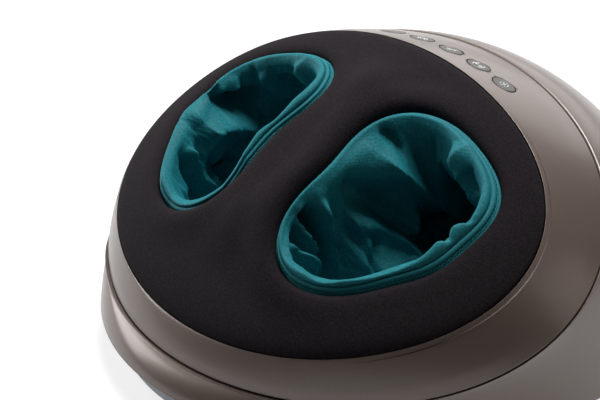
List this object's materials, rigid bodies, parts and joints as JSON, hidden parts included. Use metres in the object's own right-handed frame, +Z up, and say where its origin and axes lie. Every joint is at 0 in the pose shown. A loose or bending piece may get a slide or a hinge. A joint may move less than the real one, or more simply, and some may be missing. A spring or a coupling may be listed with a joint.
{
  "type": "shiatsu foot massager",
  "caption": "Low domed foot massager with a leaning fabric pad, two lined foot pockets over turning massage heads, and a row of buttons at the back.",
  "frame": {"origin": "on the floor, midway across the width and the depth of the housing", "axes": "+Y is where the toes point, towards the button row, +X is across the two feet, +Z is up"},
  "size_m": [0.4346, 0.4502, 0.2128],
  "materials": {
    "taupe_shell": "satin, warm grey-brown",
    "black_knit": "fine knit, soft sheen",
    "teal_cloth": "shiny stretch lining",
    "zip_teal": "moulded coil on a woven tape",
    "button_grey": "satin",
    "base_grey": "satin blue-grey",
    "tray_black": "plain",
    "tub_grey": "plain",
    "gear_white": "natural acetal",
    "head_grey": "plain",
    "dome_rubber": "soft",
    "plate_black": "plain",
    "steel": "plain",
    "bronze": "plain",
    "motor_can": "zinc plated",
    "board_green": "solder mask",
    "parts_dark": "plain",
    "foot_rubber": "plain",
    "bladder": "welded film",
    "inlet_black": "plain"
  },
  "bodies": {
    "housing": {"lower_skirt": "taupe_shell", "upper_ring": "taupe_shell", "top_pad": "black_knit", "pad_tray": "tray_black", "liner_right": "teal_cloth", "liner_left": "teal_cloth", "zip_band_right": "zip_teal", "zip_band_left": "zip_teal", "base_pan": "base_grey", "foot_tub_right": "tub_grey", "foot_tub_left": "tub_grey", "instep_bladder_right": "bladder", "instep_bladder_left": "bladder", "button_board": "board_green", "control_board": "board_green", "tact_switches": "parts_dark", "control_parts": "parts_dark", "air_pump": "parts_dark", "air_manifold": "parts_dark", "air_valves": "parts_dark", "gearbox": "parts_dark", "sole_plate": "plate_black", "gear_plate": "plate_black", "gear_axles": "steel", "case_screws": "steel", "drive_bush": "bronze", "drive_motor": "motor_can", "pump_motor": "motor_can", "rubber_feet": "foot_rubber", "power_inlet": "inlet_black"},
    "button_one_body": {"button_one": "button_grey"},
    "button_two_body": {"button_two": "button_grey"},
    "button_three_body": {"button_three": "button_grey"},
    "button_four_body": {"button_four": "button_grey"},
    "button_five_body": {"button_five": "button_grey"},
    "drive": {"drive_gear": "gear_white", "drive_shaft": "steel"},
    "idler_right": {"idler_gear_right": "gear_white"},
    "idler_left": {"idler_gear_left": "gear_white"},
    "head_fore_right": {"rotor_fore_right": "head_grey", "domes_fore_right": "dome_rubber"},
    "head_heel_right": {"rotor_heel_right": "head_grey", "domes_heel_right": "dome_rubber"},
    "head_fore_left": {"rotor_fore_left": "head_grey", "domes_fore_left": "dome_rubber"},
    "head_heel_left": {"rotor_heel_left": "head_grey", "domes_heel_left": "dome_rubber"}
  },
  "joints": [
    {"name": "button_one_press", "type": "slide", "parent": "housing", "child": "button_one_body", "axis": [0, -0.2789, -0.9603], "range_m": [0, 0.001], "stiffness_N_per_m": 800},
    {"name": "button_two_press", "type": "slide", "parent": "housing", "child": "button_two_body", "axis": [0, -0.2789, -0.9603], "range_m": [0, 0.001], "stiffness_N_per_m": 800},
    {"name": "button_three_press", "type": "slide", "parent": "housing", "child": "button_three_body", "axis": [0, -0.2789, -0.9603], "range_m": [0, 0.001], "stiffness_N_per_m": 800},
    {"name": "button_four_press", "type": "slide", "parent": "housing", "child": "button_four_body", "axis": [0, -0.2789, -0.9603], "range_m": [0, 0.001], "stiffness_N_per_m": 800},
    {"name": "button_five_press", "type": "slide", "parent": "housing", "child": "button_five_body", "axis": [0, -0.2789, -0.9603], "range_m": [0, 0.001], "stiffness_N_per_m": 800},
    {"name": "head_fore_right_spin", "type": "hinge", "parent": "housing", "child": "head_fore_right", "pos_m": [0.092, 0.03578, 0.05292], "axis": [0, -0.2079, 0.9781], "continuous": true},
    {"name": "head_heel_right_spin", "type": "hinge", "parent": "housing", "child": "head_heel_right", "pos_m": [0.092, -0.08578, 0.02708], "axis": [0, -0.2079, 0.9781], "continuous": true},
    {"name": "head_fore_left_spin", "type": "hinge", "parent": "housing", "child": "head_fore_left", "pos_m": [-0.092, 0.03578, 0.05292], "axis": [0, -0.2079, 0.9781], "continuous": true},
    {"name": "head_heel_left_spin", "type": "hinge", "parent": "housing", "child": "head_heel_left", "pos_m": [-0.092, -0.08578, 0.02708], "axis": [0, -0.2079, 0.9781], "continuous": true},
    {"name": "idler_right_spin", "type": "hinge", "parent": "housing", "child": "idler_right", "pos_m": [0.05, -0.025, 0.04], "axis": [0, -0.2079, 0.9781], "continuous": true},
    {"name": "idler_left_spin", "type": "hinge", "parent": "housing", "child": "idler_left", "pos_m": [-0.05, -0.025, 0.04], "axis": [0, -0.2079, 0.9781], "continuous": true},
    {"name": "drive_spin", "type": "hinge", "parent": "housing", "child": "drive", "pos_m": [0, -0.025, 0.04], "axis": [0, -0.2079, 0.9781], "continuous": true}
  ],
  "couplings": [
    {"joint": "head_heel_right_spin", "follows": "head_fore_right_spin", "ratio": 1},
    {"joint": "head_fore_left_spin", "follows": "head_fore_right_spin", "ratio": 1},
    {"joint": "head_heel_left_spin", "follows": "head_fore_right_spin", "ratio": 1},
    {"joint": "idler_right_spin", "follows": "head_fore_right_spin", "ratio": -2},
    {"joint": "idler_left_spin", "follows": "head_fore_right_spin", "ratio": -2},
    {"joint": "drive_spin", "follows": "head_fore_right_spin", "ratio": 2}
  ]
}
